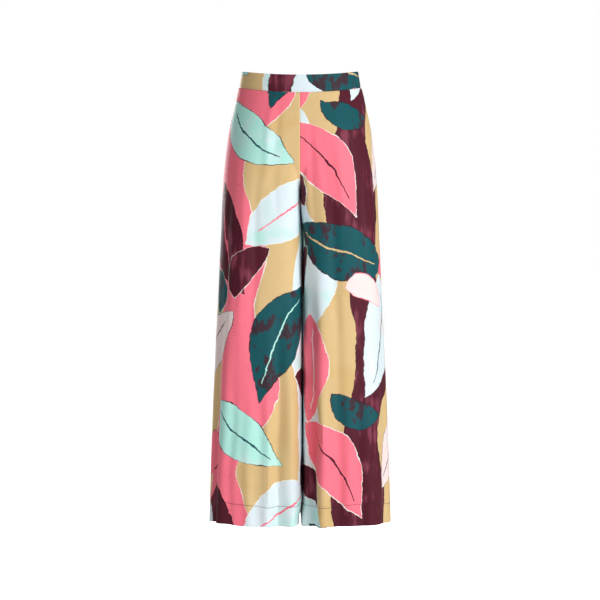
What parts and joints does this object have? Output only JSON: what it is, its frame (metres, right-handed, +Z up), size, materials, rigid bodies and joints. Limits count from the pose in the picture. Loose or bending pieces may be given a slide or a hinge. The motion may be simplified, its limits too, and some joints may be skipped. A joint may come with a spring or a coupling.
{
  "type": "wide straight-leg trousers",
  "caption": "High-waisted wide straight-leg trousers in printed crepe with a smooth shaped waistband and a concealed back zip, hollow as worn.",
  "frame": {"origin": "centre of the waist ring, 20 mm below the waistband's top edge at the side seams", "axes": "+Z up along the legs towards the waist, +X to the wearer's left, front faces -Y"},
  "size_m": [0.4296, 0.2498, 1.0657],
  "materials": {
    "printed_crepe": "smooth fluid satin-back crepe, printed all over with large soft shapes in coral, sand, plum, teal and ice blue",
    "waistband_crepe": "the same printed crepe, faced and pressed flat",
    "zip_tape": "fine woven polyester tape",
    "zip_metal": "plum lacquer"
  },
  "bodies": {
    "trousers": {"front_left": "printed_crepe", "front_right": "printed_crepe", "back_left": "printed_crepe", "back_right": "printed_crepe", "waistband_front": "waistband_crepe", "waistband_back_left": "waistband_crepe", "waistband_back_right": "waistband_crepe", "zip_tape": "zip_tape", "zip_slider": "zip_metal"},
    "zip_pull": {"zip_pull": "zip_metal"}
  },
  "joints": [
    {"name": "pull_hinge", "type": "hinge", "parent": "trousers", "child": "zip_pull", "pos_m": [0, 0.09052, 0.0115], "axis": [1, 0, 0], "range_deg": [0, 165]}
  ]
}
